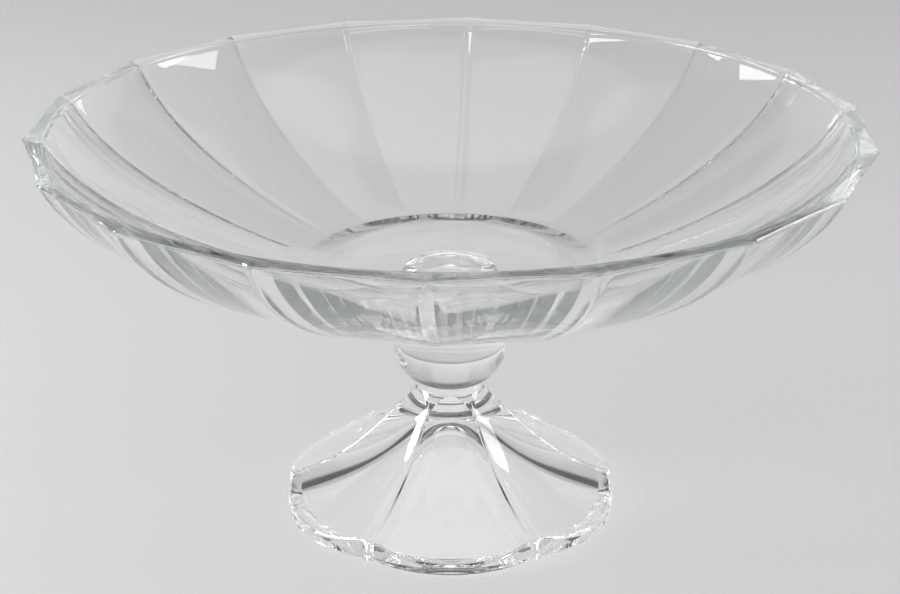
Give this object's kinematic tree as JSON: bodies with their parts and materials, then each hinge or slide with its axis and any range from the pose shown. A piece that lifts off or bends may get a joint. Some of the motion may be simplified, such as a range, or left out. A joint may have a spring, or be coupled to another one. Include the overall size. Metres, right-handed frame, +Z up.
{
  "type": "footed bowl",
  "caption": "Wide panelled bowl in clear pressed glass, bonded to a fluted, hollow pedestal foot with a round knop.",
  "frame": {"origin": "on the axis of the bowl, in the plane that the foot rests on", "axes": "+Z up along the axis, out of the bowl's mouth; -Y is the front, where the middle of one flute of the foot faces; +X is to the right seen from the front"},
  "size_m": [0.298, 0.2992, 0.1482],
  "materials": {
    "clear_glass": "clear fire-polished pressed glass",
    "foot_glass": "clear fire-polished pressed glass",
    "clear_adhesive": "clear light-cured adhesive"
  },
  "bodies": {
    "root": {"bowl": "clear_glass", "pedestal": "foot_glass", "adhesive_film": "clear_adhesive"}
  },
  "joints": []
}
